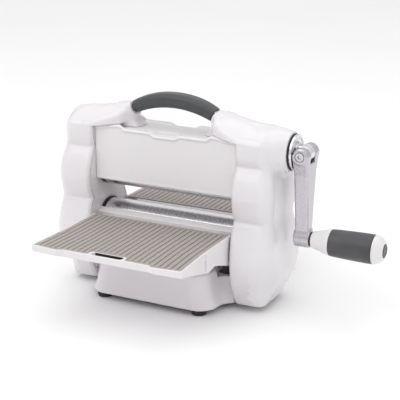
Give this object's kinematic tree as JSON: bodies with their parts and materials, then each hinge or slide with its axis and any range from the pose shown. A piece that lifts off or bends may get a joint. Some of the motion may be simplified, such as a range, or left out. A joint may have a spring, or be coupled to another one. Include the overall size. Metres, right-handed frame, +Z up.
{
  "type": "die cutting machine",
  "caption": "Hand-cranked roller die cutting machine with lobed white casings, fold-out ribbed trays, carrying handle and a folding crank.",
  "frame": {"origin": "on the table plane under the roller axes, midway between the side cheeks", "axes": "+X to the crank side, -Y to the front, +Z up; the Y = 0 plane holds the roller and crank axes"},
  "size_m": [0.3584, 0.2996, 0.2124],
  "materials": {
    "shell_white": "glossy moulded white",
    "panel_white": "satin moulded white",
    "base_white": "glossy moulded white",
    "tray_white": "glossy moulded white",
    "pad_grey": "matte ribbed warm grey",
    "grip_rubber": "soft matte dark grey",
    "foot_rubber": "matte black",
    "bush_black": "matte black nylon",
    "roller_steel": "ground steel",
    "frame_steel": "zinc plated sheet",
    "gear_steel": "machined steel, oiled",
    "crank_metal": "satin cast metal",
    "screw_steel": "plated screw",
    "grip_white": "glossy moulded white",
    "sleeve_grey": "matte dark grey"
  },
  "bodies": {
    "chassis": {"left_shell": "shell_white", "right_shell": "shell_white", "left_cheek": "shell_white", "right_cheek": "shell_white", "left_frame": "frame_steel", "right_frame": "frame_steel", "gear_bracket": "frame_steel", "bracket_standoffs": "frame_steel", "tie_rods": "frame_steel", "tie_rod_screws": "screw_steel", "top_bridge": "panel_white", "front_panel": "panel_white", "rear_panel": "panel_white", "front_sill": "shell_white", "rear_sill": "shell_white", "base_pan": "base_white", "rubber_feet": "foot_rubber", "foot_screws": "screw_steel", "shell_screws": "screw_steel", "handle_core": "shell_white", "handle_grip": "grip_rubber", "lower_left_bush": "bush_black", "lower_right_bush": "bush_black", "upper_left_bush": "bush_black", "upper_right_bush": "bush_black", "crank_inner_bush": "bush_black", "crank_outer_bush": "bush_black", "hub_collar": "bush_black", "front_hinge_pins": "screw_steel", "rear_hinge_pins": "screw_steel"},
    "upper_roller_body": {"upper_roller": "roller_steel", "upper_roller_shaft": "gear_steel", "upper_sync_gear": "gear_steel", "drive_gear": "gear_steel", "upper_roller_clips": "screw_steel"},
    "lower_roller_body": {"lower_roller": "roller_steel", "lower_roller_shaft": "gear_steel", "lower_sync_gear": "gear_steel", "lower_roller_clips": "screw_steel"},
    "crank": {"crank_shaft": "gear_steel", "crank_pinion": "gear_steel", "crank_hub": "crank_metal", "fold_screw": "screw_steel", "fold_nut": "screw_steel"},
    "arm": {"crank_arm": "crank_metal", "grip_spindle": "gear_steel", "grip_washer": "bush_black"},
    "grip": {"grip_cone": "grip_white", "grip_sleeve": "sleeve_grey", "grip_cap": "grip_white", "grip_plug": "sleeve_grey"},
    "front_tray_body": {"front_tray": "tray_white", "front_tray_pad": "pad_grey"},
    "rear_tray_body": {"rear_tray": "tray_white", "rear_tray_pad": "pad_grey"}
  },
  "joints": [
    {"name": "crank_spin", "type": "hinge", "parent": "chassis", "child": "crank", "pos_m": [0.11, 0, 0.1659], "axis": [1, 0, 0], "continuous": true},
    {"name": "upper_roller_spin", "type": "hinge", "parent": "chassis", "child": "upper_roller_body", "pos_m": [0, 0, 0.1275], "axis": [1, 0, 0], "continuous": true},
    {"name": "lower_roller_spin", "type": "hinge", "parent": "chassis", "child": "lower_roller_body", "pos_m": [0, 0, 0.0675], "axis": [1, 0, 0], "continuous": true},
    {"name": "crank_fold", "type": "hinge", "parent": "crank", "child": "arm", "pos_m": [0.1445, 0, 0.1659], "axis": [0, 1, 0], "range_deg": [-180, 0]},
    {"name": "grip_spin", "type": "hinge", "parent": "arm", "child": "grip", "pos_m": [0.19, 0, 0.078], "axis": [1, 0, 0], "continuous": true},
    {"name": "front_tray_fold", "type": "hinge", "parent": "chassis", "child": "front_tray_body", "pos_m": [0, -0.037, 0.0695], "axis": [-1, 0, 0], "range_deg": [0, 86]},
    {"name": "rear_tray_fold", "type": "hinge", "parent": "chassis", "child": "rear_tray_body", "pos_m": [0, 0.037, 0.0695], "axis": [1, 0, 0], "range_deg": [0, 86]}
  ],
  "couplings": [
    {"joint": "upper_roller_spin", "follows": "crank_spin", "ratio": -0.33333},
    {"joint": "lower_roller_spin", "follows": "crank_spin", "ratio": 0.33333}
  ]
}
